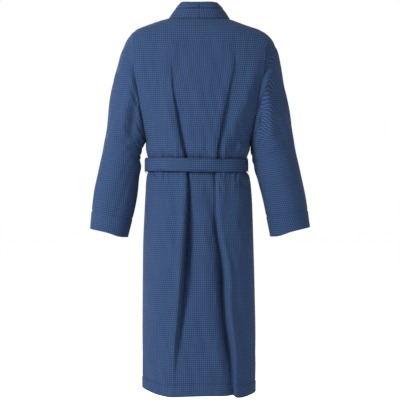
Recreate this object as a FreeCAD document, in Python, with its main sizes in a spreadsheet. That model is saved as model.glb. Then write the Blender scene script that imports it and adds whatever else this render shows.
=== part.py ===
import FreeCAD, Part
import math
import os

import Sketcher
from FreeCAD import Placement, Vector

# A long bathrobe as it hangs on a wearer: the origin is the middle of the neck hole at
# the height of the shoulder line, +Z is up, the back faces +Y and the wearer's left is +X.
# Draped cloth follows no primitive or sketch, so each cloth piece is a thin closed solid between
# two skins of ruled faces, whose curves are worked out from the sheet's levels and rings. The belt,
# its loops and ends, the hanging loop and the label are padded bodies bound to the same sheet.

doc = FreeCAD.newDocument("Bathrobe")
sheet = doc.addObject("Spreadsheet::Sheet", "Dims")
usedRows = []


def put(name, value):
    """One driving dimension: its name in column A and its value, with that alias, in column B."""
    usedRows.append(name)
    row = len(usedRows)
    sheet.set("A%d" % row, name)
    sheet.set("B%d" % row, str(value))
    sheet.setAlias("B%d" % row, name)


# Cloth, seams and small clearances.
put("wall", 3)
put("seamGap", 0.3)
put("lap", 4)
put("lapFullHigh", -180)
put("armGap", 0.5)

# The body of the robe: name, height, half width and half depth of each level.
bodyLevels = (
    ("neck", 0, 92, 64),
    ("yoke", -17, 138, 78),
    ("shoulder", -40, 197, 94),
    ("cap", -78, 211, 108),
    ("chest", -160, 206, 122),
    ("bust", -260, 195, 126),
    ("underarm", -370, 174, 120),
    ("blouse", -425, 170, 112),
    ("waistTop", -450, 163, 108),
    ("waistLow", -501, 163, 108),
    ("tuck", -535, 170, 113),
    ("hip", -640, 178, 121),
    ("thigh", -850, 180, 128),
    ("hem", -1222, 185, 137),
)
for level, high, wide, deep in bodyLevels:
    put(level + "High", high)
    put(level + "Wide", wide)
    put(level + "Deep", deep)

# A sleeve: name, outer point and inner point in the XZ plane, and half depth of each ring.
armRings = (
    ("crown", 228, -62, 175, -402, 64),
    ("upper", 262, -140, 178, -415, 68),
    ("bicep", 288, -263, 184, -434, 67),
    ("elbow", 304, -380, 191, -466, 64),
    ("fore", 326, -490, 200, -532, 61),
    ("wrist", 343, -575, 213, -606, 60),
    ("cuff", 353, -678, 232, -705, 58),
)
for ring, outX, outZ, inX, inZ, deep in armRings:
    put(ring + "OutX", outX)
    put(ring + "OutZ", outZ)
    put(ring + "InX", inX)
    put(ring + "InZ", inZ)
    put(ring + "Deep", deep)
put("armholeTop", -46)
put("armholeLow", -394)
put("armholeDeep", 57)
put("cuffTurn", 58)
put("facingWall", 2)

# The neck band and the front edges that it covers.
put("bandWide", 55)
put("collarHigh", 52)
put("collarTopWide", 62)
put("collarTopDeep", 48)
put("neckEdge", 42)
put("lapEdge", 58)
put("lapFrom", -454)
put("collarTurn", 0.15)

# The belt, its knot, its loops and its hanging ends.
put("beltWide", 43)
put("beltThick", 5)
put("beltTop", -454)
put("beltPlay", 1)
put("knotWide", 58)
put("knotHigh", 50)
put("knotDeep", 30)
put("knotRound", 10)
put("knotAbove", 3)
put("tailGap", 3)
put("tailLong", 397)
put("tailApart", 24)
put("tailBack", 142)
put("tailSlant", 10)
put("tailNeck", 24)
put("tailSpread", 70)
put("tailAside", 2)
put("tailAir", 1)
put("loopHigh", 62)
put("loopDeep", 10)
put("loopReach", 12.5)
put("loopOff", 2)

# Patch pockets on the two fronts.
put("pocketIn", 65)
put("pocketOut", 172)
put("pocketTop", -610)
put("pocketHigh", 185)
put("pocketGape", 14)

# Hanging loop and label inside the back of the neck.
put("hangWide", 66)
put("hangDrop", 32)
put("hangStrip", 8)
put("hangThick", 1.6)
put("hangBack", 52)
put("hangHigh", 6)
put("labelWide", 50)
put("labelHigh", 26)
put("labelThick", 0.8)
put("labelBack", 57)
put("labelDrop", 2)
doc.recompute()


def size(name):
    """The value of one cell of the sheet."""
    return float(sheet.get(name))


def bind(item, **expressions):
    """Binds properties of an item to the sheet; a double underscore stands for a dot."""
    for name, text in expressions.items():
        item.setExpression(name.replace("__", "."), text)
    return item


def spread(first, last, count):
    return [first + (last - first) * k / (count - 1) for k in range(count)]


def cubicThrough(places, values, at):
    """The value at a place, on a cubic that passes through all the values."""
    last = len(places) - 1
    k = next((k for k in range(last - 1) if (at - places[k + 1]) * (at - places[0]) <= 0), last - 1)
    slopes = []
    for j in (k, k + 1):
        before, after = max(j - 1, 0), min(j + 1, last)
        slopes.append((values[after] - values[before]) / (places[after] - places[before]))
    run = places[k + 1] - places[k]
    u = (at - places[k]) / run
    return (
        values[k] * (1 + 2 * u) * (1 - u) ** 2
        + values[k + 1] * u * u * (3 - 2 * u)
        + run * slopes[0] * u * (1 - u) ** 2
        + run * slopes[1] * u * u * (u - 1)
    )


ringPoints = 24
leastFrontAngle = 0.06
wall = size("wall")
seamGap = size("seamGap")
levelHeights = [size(name + "High") for name, *_ in bodyLevels]
levelSizes = {
    column: [size(name + column) for name, *_ in bodyLevels] for column in ("Wide", "Deep")
}


def levelAt(high, column):
    """Half width or half depth of the robe's body at a height."""
    return cubicThrough(levelHeights, levelSizes[column], high)


def lapAt(high, lap):
    """How far the upper front stands off; the two fronts part towards the neck."""
    return lap * min(1, high / size("lapFullHigh"))


def bodyPoint(high, angle, grow, lap):
    """A point of the body's skin: angle 0 is the left side and 90 degrees the back's middle.

    An inner skin also drops a little over the shoulders, where the cloth lies nearly flat."""
    wide = levelAt(high, "Wide") + grow
    deep = levelAt(high, "Deep") + grow
    if math.sin(angle) < 0:
        deep += lapAt(high, lap)
    flatness = max(0, 1 - high / size("capHigh")) * min(1, high / size("yokeHigh"))
    drop = min(grow, 0) * flatness
    return Vector(wide * math.cos(angle), deep * math.sin(angle), high + drop)


def curve(points, closed=False):
    line = Part.BSplineCurve()
    line.interpolate(Points=points, PeriodicFlag=closed)
    return line.toShape()


def thickSheet(outer, inner, closed=False):
    """A solid between two skins, each a list of rows of points from top to bottom."""
    skins = [[curve(row, closed) for row in rows] for rows in (outer, inner)]
    faces = []
    for edges in skins:
        faces += [Part.makeRuledSurface(a, b) for a, b in zip(edges, edges[1:])]
    faces += [Part.makeRuledSurface(skins[0][k], skins[1][k]) for k in (0, -1)]
    if not closed:
        for end in (0, -1):
            for k in range(len(outer) - 1):
                out = Part.makeLine(outer[k][end], outer[k + 1][end])
                back = Part.makeLine(inner[k][end], inner[k + 1][end])
                faces.append(Part.makeRuledSurface(out, back))
    shell = Part.makeShell(faces)
    shell.sewShape()
    solid = Part.makeSolid(shell)
    if solid.Volume < 0:
        solid.reverse()
    return solid


def feature(name, shape):
    item = doc.addObject("Part::Feature", name)
    item.Shape = shape
    item.Placement = Placement()
    return item


# Heights of the body's rows: close together over the shoulder and at the armhole's ends.
armTop = size("armholeTop")
armLow = size("armholeLow")
armMiddle = (armTop + armLow) / 2
armHalf = (armTop - armLow) / 2
yokeRows = [-2 * seamGap, -8, -17, -28, -38]
armRows = [armMiddle + armHalf * math.cos(math.pi * k / 12) for k in range(13)]
waistRows = [size(name + "High") for name in "blouse waistTop waistLow tuck".split()]
skirtRows = spread(size("hipHigh") + 50, size("hemHigh"), 8)
rowHeights = yokeRows + armRows + waistRows + skirtRows


def sideAngle(high):
    """The angle where a panel ends: at the side or shoulder seam, or at the armhole's edge."""
    inside = max(0, 1 - ((high - armMiddle) / armHalf) ** 2)
    gap = size("armholeDeep") * math.sqrt(inside) + seamGap / 2
    return math.asin(gap / levelAt(high, "Deep"))


def edgeAngle(high, shift):
    """The angle of the front's slanting edge, moved towards the side seam by a distance."""
    fall = min(1, high / size("lapFrom"))
    across = size("neckEdge") - (size("neckEdge") + size("lapEdge")) * fall + shift
    most = math.cos(sideAngle(high) + leastFrontAngle)
    return math.acos(min(across / levelAt(high, "Wide"), most))


def panel(heights, start, end, lap=0, growOut=0, growIn=-wall, count=25):
    """A thick piece of the body's skin between two angles, each a function of the height."""
    rows = [(z, spread(start(z), end(z), count)) for z in heights]
    outer, inner = (
        [[bodyPoint(z, angle, grow, lap) for angle in angles] for z, angles in rows]
        for grow in (growOut, growIn)
    )
    return thickSheet(outer, inner)


feature("back_panel", panel(rowHeights, sideAngle, lambda z: math.pi - sideAngle(z)))


def onSide(side, angle):
    """A front's angle, measured from its own side seam, as an angle round the body."""
    return -angle if side > 0 else angle - math.pi


def standingCollar(side):
    """Half of the collar's standing part, which leans in to the neck and falls away in front."""
    outer, inner = [], []
    for rise in spread(0, 1, 7):
        wide, deep = (
            size("neck" + column) + (size("collarTop" + column) - size("neck" + column)) * rise
            for column in ("Wide", "Deep")
        )
        middle = math.pi / 2 - seamGap / 2 / wide
        front = -math.acos(size("neckEdge") / size("neckWide")) * (1 - rise) - size("collarTurn")
        z = size("collarHigh") * rise - seamGap
        for rows, less in ((outer, 0), (inner, wall)):
            rows.append(
                [
                    Vector(side * (wide - less) * math.cos(a), (deep - less) * math.sin(a), z)
                    for a in spread(middle, front, 25)
                ]
            )
    return thickSheet(outer, inner)


# The two fronts, and the neck band that runs on down each front edge to the hem.
bandWide = size("bandWide")
for label, side, lap in (("left", 1, size("lap")), ("right", -1, 0)):
    cloth = panel(
        rowHeights,
        lambda z: onSide(side, sideAngle(z)),
        lambda z: onSide(side, edgeAngle(z, bandWide + seamGap)),
        lap,
    )
    feature(label + "_front", cloth)
    strip = panel(
        [0] + rowHeights[1:],
        lambda z: onSide(side, edgeAngle(z, bandWide)),
        lambda z: onSide(side, edgeAngle(z, 0)),
        lap,
        count=9,
    )
    feature("collar_" + label, standingCollar(side).fuse(strip))


# Sleeves. A ring's points start at its outer end and go round by the front or back.
def ringAt(position, side, inset):
    """One ring at a position along the sleeve, 0 at the first ring and 1 more at each next."""
    places = list(range(len(armRings)))
    keys = ("OutX", "OutZ", "InX", "InZ", "Deep")
    outX, outZ, inX, inZ, deep = (
        cubicThrough(places, [size(name + key) for name, *_ in armRings], position)
        for key in keys
    )
    half = math.hypot(outX - inX, outZ - inZ) / 2
    scale = (half - inset) / half
    points = []
    for k in range(ringPoints):
        turn = 2 * math.pi * k / ringPoints
        along = 0.5 + 0.5 * scale * math.cos(turn)
        x = inX + (outX - inX) * along
        z = inZ + (outZ - inZ) * along
        points.append(Vector(side * x, (deep - inset) * math.sin(turn), z))
    return points


def rootRing(side, grow):
    """The sleeve's first ring, which follows the edge of the armhole just outside the body."""
    points = []
    for k in range(ringPoints):
        turn = 2 * math.pi * k / ringPoints
        z = armMiddle + (armHalf + grow) * math.cos(turn)
        y = (size("armholeDeep") + grow) * math.sin(turn)
        deep = levelAt(z, "Deep") + lapAt(z, size("lap"))
        x = levelAt(z, "Wide") * math.sqrt(1 - (y / deep) ** 2) + size("armGap")
        points.append(Vector(side * x, y, z))
    return points


lastRing = len(armRings) - 1
lastRun = size("cuffOutZ") - size("wristOutZ")
turnStart = lastRing + size("cuffTurn") / lastRun
positions = spread(0, lastRing, 2 * lastRing + 1)
for label, side in (("left", 1), ("right", -1)):
    outer = [rootRing(side, wall / 2)] + [ringAt(p, side, 0) for p in positions]
    inner = [rootRing(side, -wall / 2)] + [ringAt(p, side, wall) for p in positions]
    feature(label + "_sleeve", thickSheet(outer, inner, closed=True))
    # The facing turned up inside the sleeve's end.
    skins = [
        [ringAt(p, side, inset) for p in spread(turnStart, lastRing, 3)]
        for inset in (wall + 2 * seamGap, wall + 2 * seamGap + size("facingWall"))
    ]
    feature(label + "_cuff_facing", thickSheet(*skins, closed=True))

# Patch pockets, open at the top, each following the front that it is sewn to.
pocketTop = size("pocketTop")
pocketLow = pocketTop - size("pocketHigh")


def pocketAngle(high, across):
    return math.acos(across / levelAt(high, "Wide"))


for label, side, lap in (("left", 1, size("lap")), ("right", -1, 0)):
    blocks = []
    room = size("pocketGape") + seamGap
    for grow, margin, top, low in (
        (room + wall, 0, pocketTop, pocketLow),
        (room, wall, pocketTop + wall, pocketLow + wall),
    ):
        blocks.append(
            panel(
                spread(top, low, 5),
                lambda z: onSide(side, pocketAngle(z, size("pocketOut") - margin)),
                lambda z: onSide(side, pocketAngle(z, size("pocketIn") + margin)),
                lap,
                grow,
                seamGap if margin == 0 else 0,
                count=13,
            )
        )
    feature("pocket_" + label, blocks[0].cut(blocks[1]))


# The belt round the waist, between two elliptical discs.
def beltDisc(name, grow):
    rim = doc.addObject("Part::Ellipse", name + "Rim")
    bind(
        rim,
        MajorRadius="Dims.waistTopWide + Dims.beltPlay + %s" % grow,
        MinorRadius="Dims.waistTopDeep + Dims.lap + Dims.beltPlay + %s" % grow,
        Placement__Base__z="Dims.beltTop - Dims.beltWide",
    )
    disc = doc.addObject("Part::Extrusion", name)
    disc.Base = rim
    disc.DirMode = "Custom"
    disc.Dir = Vector(0, 0, 1)
    disc.Solid = True
    return bind(disc, LengthFwd="Dims.beltWide")


belt = doc.addObject("Part::Cut", "belt_band")
belt.Base = beltDisc("beltOuter", "Dims.beltThick")
belt.Tool = beltDisc("beltInner", "0")


def originPlane(body, role):
    return next(item for item in body.Origin.OriginFeatures if item.Role == role)


def plateBody(name, corners, depth, place):
    """A body padded from a closed outline in the XZ plane, along -Y by the depth expression."""
    body = doc.addObject("PartDesign::Body", name)
    sketch = body.newObject("Sketcher::SketchObject", name + "Outline")
    sketch.AttachmentSupport = [(originPlane(body, "XZ_Plane"), "")]
    sketch.MapMode = "FlatFace"
    doc.recompute()
    for loop in corners:
        first = sketch.GeometryCount
        start = [[float(sheet.evalExpression(text)) for text in pair] for pair in loop]
        count = len(loop)
        for k in range(count):
            ends = [Vector(*start[j % count], 0) for j in (k, k + 1)]
            sketch.addGeometry(Part.LineSegment(*ends), False)
        for k in range(count):
            after = first + (k + 1) % count
            sketch.addConstraint(Sketcher.Constraint("Coincident", first + k, 2, after, 1))
        for k, pair in enumerate(loop):
            for axis, text, value in zip("XY", pair, start[k]):
                made = sketch.addConstraint(
                    Sketcher.Constraint("Distance" + axis, -1, 1, first + k, 1, value)
                )
                sketch.setExpression("Constraints[%d]" % made, text)
    pad = body.newObject("PartDesign::Pad", name + "Pad")
    pad.Profile = sketch
    bind(pad, Length=depth)
    for axis, text in zip("xyz", place):
        body.setExpression("Placement.Base." + axis, text)
    return body


def rectangle(wide, high, x="0", z="0"):
    """Corner expressions of an upright rectangle centred on x whose top edge is at z."""
    left = "(%s) - (%s) / 2" % (x, wide)
    right = "(%s) + (%s) / 2" % (x, wide)
    bottom = "(%s) - (%s)" % (z, high)
    return [(left, bottom), (right, bottom), (right, z), (left, z)]


beltFront = "-(Dims.waistTopDeep + Dims.lap + Dims.beltPlay + Dims.beltThick + Dims.seamGap)"
knot = plateBody(
    "belt_knot",
    [rectangle("Dims.knotWide", "Dims.knotHigh")],
    "Dims.knotDeep",
    ("0", beltFront, "Dims.beltTop + Dims.knotAbove"),
)
doc.recompute()
knotPad = knot.Tip
rounding = knot.newObject("PartDesign::Fillet", "knotRounding")
rounding.Base = (knotPad, ["Edge%d" % (k + 1) for k in range(len(knotPad.Shape.Edges))])
bind(rounding, Radius="Dims.knotRound")

tailTop = "Dims.beltTop + Dims.knotAbove - Dims.knotHigh - Dims.tailGap"
for label, side in (("left", 1), ("right", -1)):
    nearEdge = "%d * Dims.tailSlant - Dims.beltWide / 2" % side
    farEdge = "%d * Dims.tailSlant + Dims.beltWide / 2" % side
    outFront = "(Dims.beltThick + Dims.tailAir)" if side > 0 else "0"
    plateBody(
        "belt_tail_" + label,
        [
            [
                ("-Dims.tailNeck / 2", "0"),
                (nearEdge, "-Dims.tailSpread"),
                (nearEdge, "-Dims.tailLong"),
                (farEdge, "-Dims.tailLong"),
                (farEdge, "-Dims.tailSpread"),
                ("Dims.tailNeck / 2", "0"),
            ]
        ],
        "Dims.beltThick",
        (
            "%d * (Dims.tailApart / 2 + Dims.tailAside)" % side,
            "-Dims.tailBack - " + outFront,
            tailTop,
        ),
    )

# Belt loops at the side seams, each a strap that passes outside the belt.
for label, side in (("left", 1), ("right", -1)):
    near = "%d * Dims.seamGap" % side
    reachOut = "%d * Dims.loopReach" % side
    strap = "%d * (Dims.loopReach - Dims.wall)" % side
    drop = "-Dims.loopHigh"
    plateBody(
        "belt_loop_" + label,
        [
            [
                (near, "0"),
                (reachOut, "0"),
                (reachOut, drop),
                (near, drop),
                (near, drop + " + Dims.wall"),
                (strap, drop + " + Dims.wall"),
                (strap, "-Dims.wall"),
                (near, "-Dims.wall"),
            ]
        ],
        "Dims.loopDeep",
        (
            "%d * (Dims.waistTopWide + Dims.loopOff)" % side,
            "Dims.loopDeep / 2",
            "Dims.beltTop + (Dims.loopHigh - Dims.beltWide) / 2",
        ),
    )

# The hanging loop and the blank label inside the back of the neck.
stripInner = "Dims.hangWide - 2 * Dims.hangStrip"
plateBody(
    "hang_loop",
    [
        rectangle("Dims.hangWide", "Dims.hangDrop"),
        rectangle(stripInner, "Dims.hangDrop - 2 * Dims.hangStrip", z="-Dims.hangStrip"),
    ],
    "Dims.hangThick",
    ("0", "Dims.hangBack", "Dims.hangHigh"),
)
plateBody(
    "neck_label",
    [rectangle("Dims.labelWide", "Dims.labelHigh")],
    "Dims.labelThick",
    ("0", "Dims.labelBack", "-Dims.labelDrop"),
)

doc.recompute()

partNames = (
    "back_panel left_front right_front collar_left collar_right left_sleeve right_sleeve"
    " left_cuff_facing right_cuff_facing belt_band belt_knot belt_tail_left belt_tail_right"
    " belt_loop_left belt_loop_right pocket_left pocket_right hang_loop neck_label"
).split()


def stop(message):
    print(message, flush=True)
    raise SystemExit(1)


faults = [item.Name for item in doc.Objects if {"Invalid", "Error"} & set(item.State)]
if faults:
    stop("failed objects: %s" % faults)
os.makedirs("parts", exist_ok=True)
for name in partNames:
    item = doc.getObject(name)
    item.Label = name
    shape = item.Shape
    if shape.isNull() or not shape.isValid():
        stop("%s has no valid shape" % name)
    box = shape.BoundBox
    ranges = (box.XMin, box.XMax, box.YMin, box.YMax, box.ZMin, box.ZMax)
    print(name, len(shape.Solids), round(shape.Volume), [round(value, 1) for value in ranges])
    shape.exportStep("parts/%s.step" % name)
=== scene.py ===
import math

import bpy
import numpy as np
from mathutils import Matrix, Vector


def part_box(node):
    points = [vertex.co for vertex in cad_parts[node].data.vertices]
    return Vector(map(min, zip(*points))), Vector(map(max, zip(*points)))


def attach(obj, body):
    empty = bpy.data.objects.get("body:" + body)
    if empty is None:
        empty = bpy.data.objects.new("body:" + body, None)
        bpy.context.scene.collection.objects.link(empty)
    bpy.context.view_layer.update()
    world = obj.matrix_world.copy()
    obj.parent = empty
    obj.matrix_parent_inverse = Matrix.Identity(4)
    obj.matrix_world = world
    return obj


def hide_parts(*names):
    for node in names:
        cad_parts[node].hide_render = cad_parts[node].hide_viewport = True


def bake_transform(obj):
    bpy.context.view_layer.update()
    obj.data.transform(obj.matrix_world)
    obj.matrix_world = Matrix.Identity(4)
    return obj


# A waffle-weave bathrobe as worn, seen from behind. Each cloth piece is one surface whose points are
# worked out from a position across and a position down the cloth. Sizes are metres in the CAD frame:
# +Z up, +Y towards the back, +X towards the wearer's left.

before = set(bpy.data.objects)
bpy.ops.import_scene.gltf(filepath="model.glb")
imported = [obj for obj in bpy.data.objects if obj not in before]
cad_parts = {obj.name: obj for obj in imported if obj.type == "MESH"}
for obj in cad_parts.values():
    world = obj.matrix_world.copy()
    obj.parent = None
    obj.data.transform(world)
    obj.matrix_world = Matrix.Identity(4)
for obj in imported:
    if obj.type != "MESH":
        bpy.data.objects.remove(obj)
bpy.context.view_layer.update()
nodeBox = {name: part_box(name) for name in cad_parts}
beltLow, beltHigh = (corner[2] for corner in nodeBox["belt_band"])
beltMiddle = (beltHigh + beltLow) / 2
print("frame loaded", len(nodeBox), "nodes")


# A smooth curve through the values: a cubic between each two places, sloped by their neighbours.
def through(at, places, values):
    order = np.argsort(places)
    places = np.asarray(places, float)[order]
    values = np.asarray(values, float)[order]
    slopes = np.gradient(values, places)
    at = np.clip(at, places[0], places[-1])
    k = np.clip(np.searchsorted(places, at) - 1, 0, len(places) - 2)
    run = places[k + 1] - places[k]
    t = (at - places[k]) / run
    blend = values[k] * (1 + 2 * t) * (1 - t) ** 2 + values[k + 1] * t * t * (3 - 2 * t)
    return blend + run * (slopes[k] * t * (1 - t) ** 2 + slopes[k + 1] * t * t * (t - 1))


# The same curve through points.
def throughPoints(at, places, points):
    return np.stack([through(at, places, points[:, k]) for k in range(3)], axis=1)


# 0 before the start, 1 after the end and a smooth step between them.
def ramp(at, start, end):
    t = np.clip((at - start) / (end - start), 0, 1)
    return t * t * (3 - 2 * t)


# A bell of height 1 and the given half width.
def bell(distance, width):
    return np.exp(-((distance / width) ** 2))


# Vectors made one long.
def unit(vectors):
    return vectors / np.maximum(np.linalg.norm(vectors, axis=-1, keepdims=True), 1e-9)


# Soft irregular waves: the sum of sines whose directions and phases come from the seed.
def ripples(across, down, seed, longest, stretch=1.0, count=9):
    rng = np.random.default_rng(seed)
    total = np.zeros(np.broadcast(across, down).shape)
    for _ in range(count):
        turn = rng.uniform(-0.9, 0.9)
        length = longest * rng.uniform(0.35, 1.0)
        phase = rng.uniform(0, 2 * math.pi)
        along = across * math.cos(turn) + down * math.sin(turn) / stretch
        total += (length / longest) * np.sin(2 * math.pi * along / length + phase)
    return total / math.sqrt(count)


# Positions from 0 to 1 that crowd together near the given centres.
def crowded(count, centres, width=0.02, strength=3.0):
    fine = np.linspace(0, 1, 2000)
    density = 1 + sum(strength * bell(fine - centre, width) for centre in centres)
    total = np.concatenate([[0], np.cumsum((density[1:] + density[:-1]) / 2)])
    return np.interp(np.linspace(0, 1, count), total / total[-1], fine)


# Lengths along the rows and columns of a grid, measured from its first row and the given column.
def clothLengths(grid, column):
    across = np.linalg.norm(np.diff(grid, axis=1), axis=2)
    across = np.concatenate([np.zeros((len(grid), 1)), np.cumsum(across, axis=1)], axis=1)
    across -= across[:, column : column + 1]
    down = np.linalg.norm(np.diff(grid[:, column], axis=0), axis=1)
    down = np.concatenate([[0], np.cumsum(down)])
    return np.stack([across, np.broadcast_to(down[:, None], across.shape)], axis=2)


# A mesh of four-sided faces from a grid of points; a wrapped grid closes on itself across.
def gridMesh(name, grid, wrap=False, flip=False, uv=None):
    grid = np.asarray(grid, float)
    rows, cols = grid.shape[:2]
    if uv is None:
        uv = clothLengths(grid, cols // 2)
    index = np.arange(rows * cols).reshape(rows, cols)
    if wrap:
        nextUv = uv[:, :1].copy()
        step = np.linalg.norm(grid[:, :1] - grid[:, -1:], axis=2)
        nextUv[..., 0] = uv[:, -1:, 0] + step
        uv = np.concatenate([uv, nextUv], axis=1)
        index = np.concatenate([index, index[:, :1]], axis=1)
    corners = [index[:-1, :-1], index[1:, :-1], index[1:, 1:], index[:-1, 1:]]
    uvCorners = [uv[:-1, :-1], uv[1:, :-1], uv[1:, 1:], uv[:-1, 1:]]
    if flip:
        corners, uvCorners = corners[::-1], uvCorners[::-1]
    faces = np.stack(corners, axis=-1).reshape(-1, 4)
    mesh = bpy.data.meshes.new(name)
    mesh.vertices.add(rows * cols)
    mesh.vertices.foreach_set("co", grid.reshape(-1))
    mesh.loops.add(faces.size)
    mesh.loops.foreach_set("vertex_index", faces.reshape(-1))
    mesh.polygons.add(len(faces))
    mesh.polygons.foreach_set("loop_start", np.arange(0, faces.size, 4))
    mesh.polygons.foreach_set("loop_total", np.full(len(faces), 4))
    mesh.update(calc_edges=True)
    layer = mesh.uv_layers.new(name="cloth")
    layer.data.foreach_set("uv", np.stack(uvCorners, axis=2).reshape(-1))
    mesh.polygons.foreach_set("use_smooth", np.ones(len(faces), bool))
    mesh.validate()
    obj = bpy.data.objects.new(name, mesh)
    bpy.context.collection.objects.link(obj)
    return obj


# Gives a piece its cloth, its thickness (inwards when the side is -1) and, for folded cloth, an edge
# rounded by the soft radius.
def finishCloth(obj, material, thick=0.0022, side=-1.0, soft=0.0):
    obj.data.materials.append(material)
    solid = obj.modifiers.new("thickness", "SOLIDIFY")
    solid.thickness = thick
    solid.offset = side
    solid.use_quality_normals = True
    if soft:
        edge = obj.modifiers.new("soft edge", "BEVEL")
        edge.width = soft
        edge.segments = 3
        edge.limit_method = "ANGLE"
        edge.angle_limit = math.radians(50)
        edge.use_clamp_overlap = False
    return obj


# A number in a shader, with Python's operators making the Math nodes.
class Value:
    def __init__(self, tree, socket):
        self.tree = tree
        self.socket = socket

    def math(self, kind, *others):
        node = self.tree.nodes.new("ShaderNodeMath")
        node.operation = kind
        for slot, item in zip(node.inputs, (self, *others)):
            if isinstance(item, Value):
                self.tree.links.new(item.socket, slot)
            else:
                slot.default_value = item
        return Value(self.tree, node.outputs[0])

    def __add__(self, other):
        return self.math("ADD", other)

    def __sub__(self, other):
        return self.math("SUBTRACT", other)

    def __mul__(self, other):
        return self.math("MULTIPLY", other)

    def __truediv__(self, other):
        return self.math("DIVIDE", other)

    def __pow__(self, other):
        return self.math("POWER", other)

    def __rsub__(self, other):
        return self * -1 + other

    __radd__ = __add__
    __rmul__ = __mul__

    def wave(self):
        return (self * math.pi).math("SINE").math("ABSOLUTE")

    def clamp(self):
        return self.math("MAXIMUM", 0).math("MINIMUM", 1)


# A material's node tree and the few kinds of node that the cloths need.
class Recipe:
    def __init__(self, name):
        self.material = bpy.data.materials.new(name)
        self.material.use_nodes = True
        self.tree = self.material.node_tree
        self.tree.nodes.clear()
        self.shader = self.add("ShaderNodeBsdfPrincipled")
        output = self.add("ShaderNodeOutputMaterial")
        self.tree.links.new(self.shader.outputs[0], output.inputs[0])

    def add(self, kind, inputs=None, **settings):
        node = self.tree.nodes.new(kind)
        for key, value in settings.items():
            setattr(node, key, value)
        for key, value in (inputs or {}).items():
            if isinstance(value, Value):
                self.tree.links.new(value.socket, node.inputs[key])
            else:
                node.inputs[key].default_value = value
        return node

    def value(self, node, output=0):
        return Value(self.tree, node.outputs[output])

    def clothPlace(self):
        uv = self.add("ShaderNodeUVMap", uv_map="cloth")
        parts = self.add("ShaderNodeSeparateXYZ", {"Vector": self.value(uv)})
        return self.value(parts, 0), self.value(parts, 1), self.value(uv)

    def noise(self, vector, scale, detail=3.0, rough=0.55):
        inputs = {"Vector": vector, "Scale": scale, "Detail": detail, "Roughness": rough}
        return self.value(self.add("ShaderNodeTexNoise", inputs))

    def mixColour(self, factor, low, high):
        inputs = {0: factor, 6: (*low, 1), 7: (*high, 1)}
        return self.value(self.add("ShaderNodeMix", inputs, data_type="RGBA"), 2)

    def connect(self, name, value):
        self.tree.links.new(value.socket, self.shader.inputs[name])

    def bump(self, height, distance, strength=1.0):
        inputs = {"Height": height, "Distance": distance, "Strength": strength}
        self.connect("Normal", self.value(self.add("ShaderNodeBump", inputs)))

    def finish(self, surface):
        for name, amount in surface.items():
            self.shader.inputs[name].default_value = amount
        return self.material


waffle = dict(
    cell=0.0065,
    ridge=(0.0285, 0.0565, 0.128),
    # the pits' colour: the ridges' blue darkened by painted shade in the sunken cells
    shadedPit=(0.0045, 0.0110, 0.031),
    relief=0.0011,
    thread=0.00085,
    wander=(0.35, 0.3),
    wanderScale=9.0,
    roundness=0.75,
    fuzzScale=900.0,
    patchScale=14.0,
    shade=(0.86, 0.08, 0.12, 0.16),
    rise=(0.10, 0.16),
    surface={"Roughness": 0.86, "Sheen Weight": 0.02, "Sheen Roughness": 0.5,
             "Specular IOR Level": 0.06},
)


# Waffle weave: raised threads on a square grid round sunken cells. The height is 1 less the product
# of a wave across and a wave down, and the colour goes with it from the pits, darkened as painted shade, to
# the ridges.
def waffleCloth(name, tint=1.0):
    recipe = Recipe(name)
    across, down, place = recipe.clothPlace()
    wander = recipe.noise(place, waffle["wanderScale"], 1.0) - 0.5
    u = across / waffle["cell"] + wander * waffle["wander"][0]
    v = down / waffle["cell"] + wander * waffle["wander"][1]
    height = 1 - (u.wave() * v.wave()) ** waffle["roundness"]
    yarn = (across / waffle["thread"]).wave() * 0.5 + (down / waffle["thread"]).wave() * 0.5
    fuzz = recipe.noise(place, waffle["fuzzScale"], 2.0)
    patchy = recipe.noise(place, waffle["patchScale"], 2.0) - 0.5
    # The height's part of the colour is painted shade in the pits; the yarn, fuzz and patch parts are the
    # cloth's own tone.
    parts = zip((height, yarn, fuzz, patchy), waffle["shade"])
    shade = sum(part * share for part, share in parts).clamp()
    # A tint below 1 makes a darker copy of the same waffle, which is painted shade.
    ridge = tuple(tint * part for part in waffle["ridge"])
    shadedPit = tuple(tint * part for part in waffle["shadedPit"])
    recipe.connect("Base Color", recipe.mixColour(shade, shadedPit, ridge))
    recipe.bump(height + yarn * waffle["rise"][0] + fuzz * waffle["rise"][1], waffle["relief"])
    return recipe.finish(waffle["surface"])


tape = dict(
    width=0.010,
    thread=0.0008,
    fuzzScale=400.0,
    shade=(0.6, 0.4),
    relief=0.0002,
    strength=0.8,
    surface={"Roughness": 0.8, "Sheen Weight": 0.15},
)


# Plain tape or label cloth: fine crossed threads, the mean of a wave across and a wave down.
def plainCloth(name, light, dark):
    recipe = Recipe(name)
    across, down, place = recipe.clothPlace()
    weave = (across / tape["thread"]).wave() * 0.5 + (down / tape["thread"]).wave() * 0.5
    fuzz = recipe.noise(place, tape["fuzzScale"], 2.0)
    shade = (weave * tape["shade"][0] + fuzz * tape["shade"][1]).clamp()
    recipe.connect("Base Color", recipe.mixColour(shade, dark, light))
    recipe.bump(weave, tape["relief"], tape["strength"])
    return recipe.finish(tape["surface"])


bodyCloth = waffleCloth("robe waffle")
# The band's copy of the waffle is 3% darker as painted shade.
collarCloth = waffleCloth("band waffle", tint=0.97)
beltCloth = waffleCloth("belt waffle")
# The cuff facing's copy of the waffle is 5% darker as painted shade inside the cuff.
facingCloth = waffleCloth("turned waffle", tint=0.95)
tapeCloth = plainCloth("loop tape", (0.040, 0.078, 0.160), (0.020, 0.042, 0.092))
labelCloth = plainCloth("blank label", (0.72, 0.71, 0.67), (0.55, 0.54, 0.50))
print("materials made")


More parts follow.
